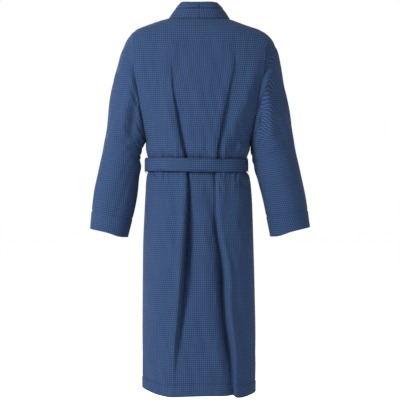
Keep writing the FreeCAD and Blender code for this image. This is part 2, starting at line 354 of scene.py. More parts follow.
body = dict(
    high=(0.0, -0.0065, -0.017, -0.027, -0.036, -0.045, -0.062, -0.100, -0.160, -0.260, -0.330,
          -0.393, -0.425, -0.446, -0.454, -0.498, -0.506, -0.525, -0.560, -0.640, -0.705, -0.850,
          -1.000, -1.212),
    left=(0.104, 0.128, 0.157, 0.184, 0.204, 0.212, 0.214, 0.214, 0.209, 0.196, 0.185,
          0.174, 0.172, 0.168, 0.166, 0.166, 0.169, 0.172, 0.174, 0.178, 0.181, 0.183,
          0.184, 0.184),
    right=(0.094, 0.114, 0.141, 0.169, 0.195, 0.209, 0.214, 0.214, 0.209, 0.195, 0.183,
           0.169, 0.164, 0.157, 0.154, 0.155, 0.161, 0.166, 0.170, 0.174, 0.176, 0.180,
           0.183, 0.183),
    deep=(0.064, 0.069, 0.078, 0.086, 0.092, 0.096, 0.101, 0.110, 0.118, 0.123, 0.122,
          0.118, 0.115, 0.110, 0.106, 0.106, 0.109, 0.112, 0.115, 0.121, 0.124, 0.128,
          0.132, 0.136),
    square=(1.0, 0.98, 0.94, 0.90, 0.87, 0.85, 0.84, 0.82, 0.80, 0.80, 0.84,
            0.90, 0.93, 0.97, 1.0, 1.0, 0.98, 0.95, 0.92, 0.90, 0.88, 0.86,
            0.86, 0.86),
)
armhole = dict(
    high=(-0.040, -0.046, -0.056, -0.075, -0.110, -0.160, -0.220, -0.280, -0.330, -0.370, -0.390,
          -0.397),
    half=(0.0, 0.028, 0.050, 0.068, 0.080, 0.085, 0.082, 0.072, 0.057, 0.037, 0.017, 0.0),
)
armholeTop, armholeLow = armhole["high"][0], armhole["high"][-1]


# A number's power that keeps its sign.
def signedPower(value, power):
    return np.sign(value) * np.abs(value) ** power


# Half width and half depth of the body at a height. The table gives the width at the edge where the
# back ends, so the whole section is wider wherever the armhole cuts its side off; the width leans to
# the side that the angle is on.
def bodySize(high, angle):
    left = through(high, body["high"], body["left"])
    right = through(high, body["high"], body["right"])
    wide = (left + right) / 2 + (left - right) / 2 * np.cos(angle)
    square = through(high, body["high"], body["square"])
    return wide / np.cos(sideAngle(high)) ** square, through(high, body["high"], body["deep"])


# A point of the undraped body: angle 0 at the left side seam, a quarter turn at the back's middle.
# The section is an ellipse that the square power, below 1, makes flatter at the back and the sides.
def bodyPoint(high, angle):
    wide, deep = bodySize(high, angle)
    square = through(high, body["high"], body["square"])
    x = wide * signedPower(np.cos(angle), square)
    return np.stack([x, deep * signedPower(np.sin(angle), square), high + 0 * angle], axis=-1)


# Outward unit vector of the body at the same place, level with the ground.
def bodyOut(high, angle):
    wide, deep = bodySize(high, angle)
    square = through(high, body["high"], body["square"])
    x = signedPower(np.cos(angle), 2 - square) / wide
    out = np.stack([x, signedPower(np.sin(angle), 2 - square) / deep, 0 * x], axis=-1)
    return out / np.linalg.norm(out, axis=-1, keepdims=True)


# The angle at which the body is a given part of its half width away from the middle.
def angleAcross(part, high):
    square = through(high, body["high"], body["square"])
    return np.arccos(np.clip(signedPower(part, 1 / square), -1, 1))


# The angle at which the body is a given part of its half depth away from the middle.
def angleDeep(part, high):
    square = through(high, body["high"], body["square"])
    return np.arcsin(np.clip(signedPower(part, 1 / square), -1, 1))


# Half depth of the armhole at a height, 0 outside it.
def armholeHalf(high):
    inside = (high < armholeTop) & (high > armholeLow)
    return np.where(inside, through(high, armhole["high"], armhole["half"]), 0.0)


# The angle where the back or a front ends at the armhole or the side seam, from the side's middle.
def sideAngle(high):
    return angleDeep(armholeHalf(high) / through(high, body["high"], body["deep"]), high)


# Heights of the rows: crowded at the armhole's ends, the shoulder and the belt.
def rowHeights(top, low, count):
    hemLine = backPiece["lowHigh"] + hem["turn"]
    place = (np.array([0.0, armholeTop, armholeLow, beltHigh, beltLow, hemLine]) - top) / (low - top)
    steps = crowded(count, [p for p in place if 0 <= p <= 1], 0.015, 2.5)
    return top + (low - top) * steps


folds = dict(
    leftHigh=(-0.020, -0.073, -0.164, -0.223, -0.296, -0.398, -0.456, -0.502, -0.684, -0.760,
              -0.943, -1.051, -1.212),
    leftAt=(0.088, 0.090, 0.087, 0.086, 0.077, 0.061, 0.047, 0.042, 0.046, 0.051, 0.064, 0.073,
            0.079),
    rightHigh=(-0.020, -0.073, -0.113, -0.177, -0.211, -0.270, -0.322, -0.367, -0.455, -0.512,
               -0.684, -0.778, -0.943, -1.089, -1.212),
    rightAt=(-0.104, -0.109, -0.113, -0.107, -0.100, -0.087, -0.074, -0.066, -0.053, -0.056,
             -0.065, -0.084, -0.095, -0.113, -0.115),
    width=0.0048,
    crease=0.0040,
    overhang=0.0042,
)
# Each pair here is an amount at the belt and what the open fold adds to it.
skirtFold = dict(
    start=(0.004, -0.012),  # above the belt's upper edge and below its lower one
    floor=(0.006, 0.010),
    floorFade=(-1.0, -1.2),
    lip=(1.8, 2.2),
    left=dict(opens=(beltLow, -0.74), fades=(-0.76, -1.12), part=0.95, groove=(0.012, 0.018),
              reach=(0.007, 0.017), wave=(1, 0), lift=(0.005, 0)),
    right=dict(opens=(-0.53, -0.90), fades=(-1.02, -1.20), part=0.50, groove=(0.003, 0.029),
               reach=(0.010, 0.014), wave=(0.5, 0.5), lift=(0.0025, 0.0045)),
)
yokeFold = dict(
    shift=0.0035,
    left=dict(deep=0.016, reach=0.030, lip=(0.0045, 0.016)),
    right=dict(deep=0.014, reach=0.034, lip=(0.0035, 0.012)),
    bandTop=(-0.203, -0.133),
    bandFall=(0.119, -0.285),
    bandLift=0.0085,
    bandWide=0.024,
)


# A pair's first number and a share of its second.
def grown(pair, share):
    return pair[0] + pair[1] * share


# Where a fold's edge is sideways at a height.
def foldEdge(label, z):
    return through(z, folds[label + "High"], folds[label + "At"])


# The recess between the two pleats below the belt: a groove beside each fold edge that fades by an
# exponential, shallower in the middle. The right fold opens lower than the left one. The cloth
# doubles back under each edge, by a sine over the fold's width.
def skirtPleats(x, z):
    below = ramp(z, beltHigh + skirtFold["start"][0], beltLow + skirtFold["start"][1])
    opened = ramp(z, *skirtFold["left"]["opens"])
    hollow = grown(skirtFold["floor"], opened) * (1 - ramp(z, *skirtFold["floorFade"]))
    inside, wave, lift = 1, 0, 0
    for label, side in (("left", 1), ("right", -1)):
        fold = skirtFold[label]
        opened = ramp(z, *fold["opens"])
        kept = 1 - fold["part"] * ramp(z, *fold["fades"])
        away = side * (foldEdge(label, z) - x)
        t = away / folds["width"]
        past = np.clip(away - folds["width"], 0, 1) / grown(fold["reach"], opened)
        inside = inside * ramp(t, -1, 1)
        hollow = hollow + grown(fold["groove"], opened) * kept * np.exp(-past)
        wave = wave + side * np.sin(np.pi * np.clip(t, -1, 1)) * kept * grown(fold["wave"], opened)
        lip = bell(t + skirtFold["lip"][0], skirtFold["lip"][1])
        lift = lift + grown(fold["lift"], opened) * kept * lip
    return below * folds["overhang"] * wave, below * inside * hollow - below * lift


# Above the belt the left pleat's outer cloth lies in front of the middle, and the middle lies in
# front of a valley on the right, beside a slanting raised band. All deepen towards the belt.
def upperPleats(x, z):
    above = ramp(z, beltLow, beltHigh + 0.01)
    leftGrow = 0.3 * ramp(z, -0.13, -0.20) + 0.7 * ramp(z, -0.18, -0.34)
    rightGrow = (0.45 + 0.55 * ramp(z, -0.20, -0.38)) * ramp(z, -0.08, -0.20)
    depth, shift = 0, 0
    for label, grow in (("left", leftGrow), ("right", rightGrow)):
        fold = yokeFold[label]
        away = foldEdge(label, z) - x
        t = away / folds["crease"]
        past = np.clip(away - folds["crease"], 0, 1)
        depth = depth + fold["deep"] * grow * ramp(t, -1, 1) * np.exp(-past / fold["reach"])
        high, wide = fold["lip"]
        depth = depth - high * grow * bell((away + wide) / wide, 1)
        shift = shift + yokeFold["shift"] * grow * np.sin(np.pi * np.clip(t, -1, 1))
    (top, start), (run, fall) = yokeFold["bandTop"], yokeFold["bandFall"]
    band = top + (z - start) / fall * run
    depth = depth - yokeFold["bandLift"] * ramp(z, -0.07, -0.17) * bell(x - band, yokeFold["bandWide"])
    return above * shift, above * depth


gathers = dict(deep=0.0030, below=0.045, above=0.035, longest=0.040)


# Small gathers that the belt pinches into the cloth, dying away above and below it.
def beltGathers(along, z, seed):
    below = ramp(z, beltHigh, beltLow) * np.exp(-np.clip(beltLow - z, 0, 1) / gathers["below"])
    above = ramp(z, beltLow, beltHigh) * np.exp(-np.clip(z - beltHigh, 0, 1) / gathers["above"])
    fine = ripples(along, 0 * z, seed, gathers["longest"], count=7)
    return gathers["deep"] * (below + above) * fine


# Each crease: where it starts and ends, across and up, then its depth and its width.
puckers = (
    (-0.047, -0.500, -0.058, -0.550, 0.0022, 0.0045),
    (-0.052, -0.500, -0.084, -0.590, 0.0024, 0.0060),
    (-0.120, -0.498, -0.115, -0.535, 0.0050, 0.0050),
    (-0.138, -0.528, -0.156, -0.548, 0.0070, 0.0080),
    (-0.150, -0.500, -0.128, -0.545, 0.0030, 0.0070),
    (0.150, -0.498, 0.130, -0.520, 0.0055, 0.0045),
    (0.112, -0.500, 0.108, -0.545, 0.0030, 0.0060),
    (0.156, -0.430, 0.128, -0.450, 0.0045, 0.0050),
    (0.118, -0.425, 0.100, -0.450, 0.0030, 0.0060),
    (-0.020, -0.420, -0.034, -0.452, 0.0030, 0.0060),
    (-0.120, -0.405, -0.104, -0.452, 0.0035, 0.0060),
)


# Short creases that the belt pinches in, each a line from one place to another whose depth fades
# towards its ends, with its own depth and width.
def pinches(x, z):
    total = 0 * x
    for startX, startZ, endX, endZ, depth, width in puckers:
        runX, runZ = endX - startX, endZ - startZ
        length = math.hypot(runX, runZ)
        along = ((x - startX) * runX + (z - startZ) * runZ) / length**2
        aside = ((x - startX) * runZ - (z - startZ) * runX) / length
        fade = ramp(along, -0.25, 0.15) * ramp(along, 1.1, 0.35)
        total += depth * fade * (bell(aside, width) - 0.5 * bell(aside - 1.8 * width, width))
    return total


backPiece = dict(rows=250, cols=220, drape=0.0032, topHigh=-0.001, lowHigh=-1.213)
hem = dict(
    across=(0.184, 0.164, 0.146, 0.114, 0.086, 0.050, -0.038, -0.100, -0.109, -0.116, -0.130,
            -0.162, -0.183),
    high=(-1.192, -1.198, -1.204, -1.211, -1.2125, -1.211, -1.2085, -1.2095, -1.2095, -1.2145,
          -1.217, -1.212, -1.206),
    turn=0.038,
    groove=0.0018,
    full=0.0010,
)


# How far the hem hangs below or above its mean height at a sideways place, growing from the knees.
def hemDrop(x, z):
    edge = through(x, hem["across"], hem["high"])
    return ramp(z, -1.04, backPiece["lowHigh"]) * (edge - backPiece["lowHigh"])


# How far the row of stitching above the hem draws the cloth in; the doubled cloth below it is fuller.
def hemGroove(z):
    below = backPiece["lowHigh"] + hem["turn"] - z
    return hem["groove"] * bell(below, 0.0024) - hem["full"] * ramp(below, 0.0, 0.004)


# The back: body points from armhole to armhole, with columns crowded at the two folds. The drape,
# the pleats, the gathers and the creases draw it in, each by less towards the seams.
def makeBack():
    z = rowHeights(backPiece["topHigh"], backPiece["lowHigh"], backPiece["rows"])[:, None]
    steps = crowded(backPiece["cols"], (0.36, 0.61), 0.030, 3.2)[None, :]
    start = sideAngle(z)
    parts = (foldEdge(label, z) / bodySize(z, lean)[0] for label, lean in (("left", 1.1), ("right", 2.1)))
    leftFold, rightFold = (angleAcross(np.clip(part, -0.85, 0.85), z) for part in parts)
    marks = np.concatenate([start, leftFold, rightFold, math.pi - start], axis=1)
    angle = np.array([np.interp(steps[0], (0, 0.36, 0.61, 1), row) for row in marks])
    grid = bodyPoint(z, angle)
    x, high = grid[..., 0].copy(), grid[..., 2].copy()
    seam = ramp(np.minimum(angle - start, math.pi - start - angle), 0, 0.35)
    hang = ramp(high, -0.5, -1.1)
    soft = ripples(x, high, 11, 0.16, 5.0) * (0.5 + 0.9 * hang) * ramp(high, -0.01, -0.10)
    soft += 0.45 * ripples(x, high, 12, 0.055, 2.2) * ramp(high, -0.03, -0.14)
    inward = -backPiece["drape"] * soft * (1 - 0.75 * bell(high - beltMiddle, 0.03))
    inward = inward + beltGathers(x, high, 5)
    shiftLow, deepLow = skirtPleats(x, high)
    shiftHigh, deepHigh = upperPleats(x, high)
    inward = seam * (inward + deepLow + deepHigh + pinches(x, high))
    # The cloth blouses out just above the belt.
    inward -= seam * 0.0045 * bell(high - beltHigh - 0.028, 0.018)
    grid[..., 0] += seam * (shiftLow + shiftHigh)
    grid -= bodyOut(high, angle) * inward[..., None]
    grid -= bodyOut(high, angle) * hemGroove(high)[..., None]
    grid[..., 2] += hemDrop(grid[..., 0], high)
    obj = gridMesh("back_cloth", grid)
    finishCloth(obj, bodyCloth)
    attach(obj, "robe")
    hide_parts("back_panel")


front = dict(
    neckEdge=0.042,
    lapEdge=0.058,
    lapHigh=-0.454,
    lap=0.0042,
    lapFull=-0.18,
    band=0.055,
    rows=200,
    cols=128,
    lowHigh=-1.216,
)


# How far sideways the front's free edge is at a height: slanting to the lap, then straight down.
def edgeAcross(high):
    fall = np.clip(high / front["lapHigh"], 0, 1)
    corner = 0.5 * (fall + ramp(high, 0, front["lapHigh"] * 1.05))
    return front["neckEdge"] - (front["neckEdge"] + front["lapEdge"]) * np.minimum(fall, corner + 0.5)


# How far the fronts stand out of the plain body: long soft folds that hang from the belt, and
# slanting ones that the lap pulls towards the knot. Both fronts use it, so they stay apart.
def frontDrape(x, z):
    hang = ramp(z, -0.52, -1.05)
    out = 0.0052 * hang * ripples(x, z, 31, 0.14, 6.0)
    out += 0.0030 * ripples(x, z, 32, 0.10, 3.0) * ramp(z, -0.05, -0.16)
    pulled = np.abs(x) * 0.8 + (z - beltHigh) * 0.42
    out += 0.0026 * ripples(pulled, 0.2 * z, 33, 0.060) * ramp(z, -0.14, -0.34) * ramp(z, -0.52, -0.46)
    away = np.abs(x) + 0.02
    out -= beltGathers(x * 1.1 + away * 0.1, z, 36)
    fold = bell(np.abs(x) - 0.105 - 0.05 * ramp(z, -0.5, -1.2), 0.020)
    out += 0.0065 * fold * ramp(z, -0.505, -0.64)
    belt = bell(z - beltMiddle, 0.026)
    return out * (1 - 0.9 * belt)


# A point of a front's outer face, for side +1 (left, on top) or -1 (right, beneath), at a sideways
# place measured towards its own side seam, standing out by a further distance.
def frontPoint(side, angle, z, out):
    turned = -angle if side > 0 else math.pi + angle
    start = sideAngle(z)
    seam = ramp(angle - start, 0, 0.30)
    grid = bodyPoint(z, turned)
    x = grid[..., 0]
    lap = front["lap"] * np.clip(z / front["lapFull"], 0, 1) if side > 0 else 0
    stand = seam * (frontDrape(x, z) + lap) + out
    return grid + bodyOut(z, turned) * np.asarray(stand)[..., None]


# The angle of a sideways place on a front, never nearer its side than the seam.
def frontAngle(side, across, z):
    wide = bodySize(z, math.pi * 0.35 if side > 0 else math.pi * 0.65)[0]
    least = sideAngle(z) + 0.02
    return np.maximum(angleAcross(across / wide, z), least)


# A front: points from the side seam to the free edge, standing out of the body by the drape.
def makeFront(label, side):
    z = rowHeights(-0.001, front["lowHigh"], front["rows"])[:, None]
    start = sideAngle(z)
    end = frontAngle(side, edgeAcross(z) + 0.004, z)
    steps = np.linspace(0, 1, front["cols"])[None, :]
    angle = start + (end - start) * steps
    level = z + 0 * angle
    grid = frontPoint(side, angle, level, -hemGroove(level))
    drop = hemDrop(side * np.sqrt(np.abs(grid[..., 0]) / 0.18) * 0.18, level)
    grid[..., 2] += drop * ramp(np.abs(grid[..., 0]), 0.13, 0.18)
    obj = gridMesh(label + "_front_cloth", grid, flip=side > 0)
    finishCloth(obj, bodyCloth)
    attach(obj, "robe")
    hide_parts(label + "_front")


collar = dict(
    foot=((-0.0012, 0.0675, -0.005), (0.047, 0.0600, -0.005), (0.0830, 0.0360, -0.004),
          (0.0950, 0.007, -0.003), (0.0960, -0.024, -0.005), (0.0945, -0.049, -0.013)),
    top=((-0.0012, 0.0455, 0.0480), (0.028, 0.0405, 0.0485), (0.0470, 0.0245, 0.0500),
         (0.0535, 0.004, 0.0490), (0.0550, -0.017, 0.0410), (0.0540, -0.036, 0.0260)),
    thick=0.0050,
    roll=0.0020,
    seam=0.0016,
    widest=0.0935,
    lies=-0.0006,
    split=7.4,
    stations=(-0.034, -0.060, -0.095, -0.140, -0.200, -0.280, -0.370, -0.454, -0.560, -0.700,
              -0.900, -1.214),
)


# One half of the band: its foot and its free edge are followed from the back's middle round the
# neck and down the front to the hem, and its face is spread between them. Round the neck it stands
# and leans in; down the front it lies on the cloth. The grid is its under face, and its thickness
# stands outward.
def makeBand(label, side):
    down = np.array(collar["stations"])
    slant = 0.012 * (1 - ramp(down, -0.36, -0.47))
    count = len(collar["foot"]) + len(down)
    u = np.arange(count)
    split = collar["split"]
    fine = np.concatenate([split * crowded(160, (0.0,), 0.01, 6.0), np.linspace(split, count - 1, 181)[1:]])
    seamX = np.minimum(edgeAcross(down) + front["band"], collar["widest"])
    feet = np.concatenate([np.array(collar["foot"]), np.stack([seamX, 0 * down, down], axis=1)])
    tops = np.stack([edgeAcross(down + slant), 0 * down, down + slant], axis=1)
    tops = np.concatenate([np.array(collar["top"]), tops])
    for rows in (feet, tops):
        lying = rows[6:]
        angle = frontAngle(side, lying[:, 0], lying[:, 2])
        rows[6:, 1] = frontPoint(side, angle, lying[:, 2], 0.0)[:, 1]
    foot, top = throughPoints(fine, u, feet), throughPoints(fine, u, tops)
    s = np.linspace(0, 1, 25)[None, :, None]
    standing = foot[:, None] * (1 - s) + top[:, None] * s
    lying = standing.copy()
    angle = frontAngle(side, lying[..., 0], np.minimum(lying[..., 2], -0.001))
    onCloth = frontPoint(side, angle, np.minimum(lying[..., 2], -0.001), collar["lies"])
    lying[..., 1] = onCloth[..., 1]
    weight = ramp(fine, 4.6, 7.2)[:, None, None]
    grid = standing * (1 - weight) + lying * weight
    # The standing part is a little convex, with a rolled strip along its upper edge.
    outward = grid * np.array([1, 1, 0])
    outward = unit(outward)
    h = s[0, :, 0]
    rolled = collar["roll"] * ramp(h, 0.60, 0.70) - 0.0008 * bell(h - 0.62, 0.035)
    profile = 0.0035 * np.sin(np.pi * h) + rolled
    wave = 1 + 0.35 * ripples(fine * 0.02, 0 * fine, 41 + side, 0.05)
    bulge = profile[None, :] * wave[:, None] * (1 - weight[..., 0])
    bulge -= collar["seam"] * bell(fine, 0.022)[:, None] * ramp(h, 0.72, 0.64)[None, :]
    grid += outward * bulge[..., None]
    topWave = 0.0012 * ripples(fine * 0.02, 0 * fine, 43 + side, 0.06)[:, None] * h[None, :] ** 2
    grid[..., 2] += topWave * (1 - weight[..., 0]) * np.minimum(fine, 1)[:, None]
    lyingGroove = 0.0008 * (bell(h - 0.10, 0.03) + bell(h - 0.90, 0.03))
    grid[..., 1] += weight[..., 0] * lyingGroove[None, :]
    grid[..., 0] *= side
    obj = gridMesh(label + "_neck_band", grid, flip=side < 0)
    finishCloth(obj, collarCloth, collar["thick"], soft=0.0015)
    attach(obj, "robe")
    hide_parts("collar_" + label)


arms = dict(
    left=dict(
        outX=(0.226, 0.238, 0.250, 0.264, 0.2785, 0.290, 0.2985, 0.311, 0.328, 0.3445, 0.354),
        outZ=(-0.051, -0.078, -0.104, -0.145, -0.205, -0.270, -0.345, -0.414, -0.495, -0.575, -0.681),
        inX=(0.1745, 0.178, 0.181, 0.184, 0.187, 0.190, 0.192, 0.1925, 0.196, 0.208, 0.232),
        inZ=(-0.401, -0.407, -0.413, -0.420, -0.428, -0.437, -0.449, -0.468, -0.515, -0.601, -0.706),
        elbow=0.0026,
        seed=51,
    ),
    right=dict(
        outX=(0.226, 0.243, 0.254, 0.2625, 0.275, 0.2875, 0.299, 0.311, 0.328, 0.345, 0.360),
        outZ=(-0.053, -0.076, -0.102, -0.142, -0.205, -0.272, -0.345, -0.414, -0.497, -0.578, -0.676),
        inX=(0.166, 0.1665, 0.167, 0.168, 0.1695, 0.172, 0.176, 0.182, 0.1935, 0.209, 0.232),
        inZ=(-0.399, -0.406, -0.413, -0.421, -0.431, -0.443, -0.459, -0.482, -0.528, -0.590, -0.704),
        elbow=0.0012,
        seed=61,
    ),
    deep=(0.086, 0.087, 0.087, 0.085, 0.082, 0.077, 0.072, 0.067, 0.063, 0.060, 0.057),
    grain=(0.13, 0.0, -0.9915),
    rows=180,
    cols=150,
    hemAt=0.9503,
    facingFrom=0.954,
    sag=0.0055,
    bendFrom=(0.2064, -0.222),
    bendTo=(0.2983, -0.2380),
)


# The first ring of a sleeve: the armhole's edge on the body, tucked a little under the back and front.
def armholeRing(side, turn, tuck):
    middle = (armholeTop + armholeLow) / 2
    reach = (armholeTop - armholeLow) / 2
    z = middle + (reach - 1e-5) * np.cos(turn)
    half = armholeHalf(z) * np.sign(np.sin(turn))
    angle = angleDeep(half / through(z, body["high"], body["deep"]), z)
    turned = angle if side > 0 else math.pi - angle
    return bodyPoint(z, turned) - bodyOut(z, turned) * tuck


# A sleeve's skin: rings that start at the armhole's edge and turn from upright to level at the cuff.
# Position runs from 0 at the armhole to 1 at the cuff, turn from 0 at the outer edge.
def sleeveSkin(label, position, turn, inset=0.0):
    side = 1 if label == "left" else -1
    arm = arms[label]
    count = len(arm["outX"])
    at = np.clip(position, 0, 1) * count
    places = np.arange(1, count + 1)
    outX, outZ, inX, inZ = (through(at, places, arm[key]) for key in ("outX", "outZ", "inX", "inZ"))
    deep = through(at, places, arms["deep"])
    along = 0.5 + 0.5 * np.cos(turn)
    x = inX + (outX - inX) * along
    z = inZ + (outZ - inZ) * along - arms["sag"] * bell(along - 0.2, 0.22) * ramp(at, 9.0, 11.0)
    ring = np.stack([side * x, deep * np.sin(turn), z], axis=-1)
    root = armholeRing(side, turn + 0 * position, 0.0016)
    weight = ramp(at, 0.0, 1.9)[..., None]
    ring = root * (1 - weight) + ring * weight
    centre = np.stack([side * (outX + inX) / 2, 0 * outX, (outZ + inZ) / 2], axis=-1)
    return ring, unit(ring - centre), at


# Creases of a sleeve: long soft ones down the arm, slanting ones from the shoulder and a few sharp
# ones that cross the inside of the elbow.
def sleeveCreases(label, at, turn):
    seed = arms[label]["seed"]
    inner = ramp(-np.cos(turn), 0.0, 0.9)
    back = np.maximum(np.sin(turn), 0)
    long = 0.0026 * ripples(turn * 0.06, at * 0.05, seed, 0.14, 5.0)
    slant = 0.0032 * ripples(turn * 0.07 + at * 0.022, at * 0.01, seed + 1, 0.07, 2.0)
    slant = slant * (1 - 0.75 * ramp(at, 6.5, 8.5))
    elbow = bell(at - 7.9, 1.1)
    bend = arms[label]["elbow"] * np.sin((at - 7.9) * 3.6 + 0.8 * np.sin(turn)) * elbow * inner
    bend += 0.0014 * np.sin((at - 7.4) * 5.3 + turn) * bell(at - 7.6, 1.5) * (0.3 + 0.7 * back)
    fold = -0.0055 * bell(turn - 1.75 - 0.05 * at, 0.20) * ramp(at, 1.0, 2.2) * (1 - ramp(at, 4.5, 6.8))
    fold += 0.0050 * bell(turn - 1.30 - 0.04 * at, 0.22) * ramp(at, 1.0, 2.2) * (1 - ramp(at, 5.5, 8.0))
    grow = ramp(at, 0.25, 1.6) * (1 - 0.7 * ramp(at, 10.2, 10.9))
    past = at - arms["hemAt"] * 11
    stitch = 0.0016 * bell(past, 0.024) - 0.0008 * ramp(past, 0.0, 0.04)
    return grow * (long + slant + bend + fold) - stitch


# Lengths on a sleeve along its grain, which runs down the arm, and round it across the grain.
def sleeveLengths(grid, side):
    grain = np.array(arms["grain"]) * np.array([side, 1, 1])
    outward = np.array([-grain[2] * side, 0, grain[0] * side]) * np.array([side, 1, 1])
    step = np.diff(grid, axis=1)
    step = step - grain * np.sum(step * grain, axis=2, keepdims=True)
    run = np.cumsum(np.linalg.norm(step, axis=2), axis=1)
    across = np.concatenate([np.zeros((len(grid), 1)), run], axis=1)
    fold = np.concatenate([[0], np.cumsum(np.linalg.norm(np.diff(grid[:, 0], axis=0), axis=1))])
    down = fold[:, None] + np.sum((grid - grid[:, :1]) * grain, axis=2)
    across -= np.sum(grid[:, :1] * outward, axis=2)
    return np.stack([across, down], axis=2)


# A sleeve: its rings moved out by the creases.
def makeSleeve(label, side):
    position = crowded(arms["rows"], (0.0, arms["hemAt"], 0.99), 0.03, 2.2)[:, None]
    turn = np.linspace(0, 2 * math.pi, arms["cols"], endpoint=False)[None, :]
    grid, out, at = sleeveSkin(label, position, turn)
    creases = sleeveCreases(label, at, turn)
    grid = grid + out * creases[..., None]
    uv = sleeveLengths(grid, side)
    obj = gridMesh(label + "_sleeve_cloth", grid, wrap=True, flip=side < 0, uv=uv)
    finishCloth(obj, bodyCloth)
    armBody = label + "_sleeve"
    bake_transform(obj)
    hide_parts(label + "_sleeve")
    # The facing turned up inside the cuff, in its own ring.
    deep = np.linspace(arms["facingFrom"], 0.9985, 16)[:, None]
    ring, out, at = sleeveSkin(label, deep, turn)
    creases = sleeveCreases(label, at, turn)
    ring = ring + out * (creases - 0.0030)[..., None]
    facing = gridMesh(label + "_cuff_turning", ring, wrap=True, flip=side < 0)
    finishCloth(facing, facingCloth, thick=0.0016)
    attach(facing, armBody)
    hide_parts(label + "_cuff_facing")


belt = dict(
    shift=0.009,
    wide=0.1640,
    deep=0.1145,
    thick=0.0042,
    wave=0.0018,
    turns=260,
    rows=30,
)


# How far the rows of stitching near a band's edges draw its face in, for a place across from 0 to 1.
def stitchGroove(across, inset=0.10, width=0.030, depth=0.0009):
    return depth * (bell(across - inset, width) + bell(across - 1 + inset, width))


# How far the belt's face stands out of its ellipse.
def beltStand(turn, across):
    wave = belt["wave"] * ripples(turn * 0.1, 0.03 * across, 71, 0.09, 1.0, 7)
    return wave + 0.0009 * np.sin(np.pi * across) - stitchGroove(across, depth=0.0005)


# The belt round the waist: an ellipse of cloth on edge, a little wavy, with its face a little full
# between the two rows of stitching. Position across runs from 0 at the lower edge to 1.
def makeBelt():
    turn = np.linspace(0, 2 * math.pi, belt["turns"], endpoint=False)[None, :]
    across = crowded(belt["rows"], (0.10, 0.90), 0.03, 2.0)[::-1][:, None]
    stand = beltStand(turn, across)
    x = belt["shift"] + (belt["wide"] + stand) * np.cos(turn)
    y = (belt["deep"] + stand) * np.sin(turn)
    tilt = 0.0020 * np.sin(turn * 2 + 0.7)
    z = beltLow + 0.0005 + (beltHigh - beltLow - 0.001) * across + tilt
    obj = gridMesh("belt_round_waist", np.stack([x, y, z], axis=-1), wrap=True)
    finishCloth(obj, beltCloth, belt["thick"], side=0.0, soft=0.0014)
    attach(obj, "robe")
    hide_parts("belt_band")


# A band of cloth laid along a path: the path's points, the direction across the band at each, and its
# width. Its face sways a little and is drawn in along the stitching near its edges.
def bandAlong(name, path, wideWay, width, cloth, seed=80, sway=0.0008, groove=0.0008):
    material, slotName, thick, soft = cloth
    path = np.asarray(path, float)
    along = np.gradient(path, axis=0)
    along = unit(along)
    wideWay = unit(wideWay - along * np.sum(wideWay * along, axis=1, keepdims=True))
    normal = np.cross(wideWay, along)
    across = crowded(20, (0.10, 0.90), 0.03, 2.0)[None, :]
    half = (np.asarray(width) * np.ones(len(path)))[:, None] / 2
    place = np.arange(len(path))[:, None] / len(path)
    stand = sway * ripples(place * 0.4, across * 0.02, seed, 0.12, 1.0, 5)
    stand = stand - stitchGroove(across, depth=groove)
    grid = path[:, None] + wideWay[:, None] * ((2 * across - 1) * half)[..., None]
    grid = grid + normal[:, None] * stand[..., None]
    obj = gridMesh(name, grid)
    return finishCloth(obj, material, thick, side=0.0, soft=soft)


beltWrap = (beltCloth, "belt_cloth", 0.0042, 0.0014)
tapeWrap = (tapeCloth, "loop_tape", 0.0014, 0.0004)


# Points along a smooth path through the given ones.
def smoothPath(points, count):
    points = np.asarray(points, float)
    steps = np.arange(len(points))
    at = np.linspace(0, len(points) - 1, count)
    return throughPoints(at, steps, points)


tail = dict(
    seeds=dict(left=83, right=84),
    tuck=0.010,
    apart=(0.0202, 0.0043),
    wander=0.0010,
    width=(0.024, 0.0175),
)


# One hanging end of the belt: it leaves the knot gathered to half its width, opens out to the whole
# width and hangs with a slow wave, a little turned. Each pair is an amount at the knot and its growth.
def makeTail(label, side):
    low, high = nodeBox["belt_tail_" + label]
    depth = (low[1] + high[1]) / 2
    top = high[2] + tail["tuck"]
    t = np.linspace(0, 1, 90)
    x = side * grown(tail["apart"], t) + tail["wander"] * np.sin(7 * t + side)
    y = depth + 0.0030 * np.sin(5.3 * t + 1.6 * side) * ramp(t, 0.04, 0.5) + 0.004 * ramp(t, 0.06, 0.0)
    z = top + (low[2] + 0.0015 - top) * t
    turned = 0.10 * np.sin(4.1 * t + side) * ramp(t, 0.05, 0.4)
    wideWay = np.stack([np.cos(turned), np.sin(turned), 0.075 * side + 0 * t], axis=1)
    width = grown(tail["width"], ramp(t, 0.0, 0.10))
    path = np.stack([x, y, z], axis=1)
    obj = bandAlong(label + "_belt_end", path, wideWay, width, beltWrap, tail["seeds"][label])
    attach(obj, "belt_end_" + label)
    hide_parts("belt_tail_" + label)
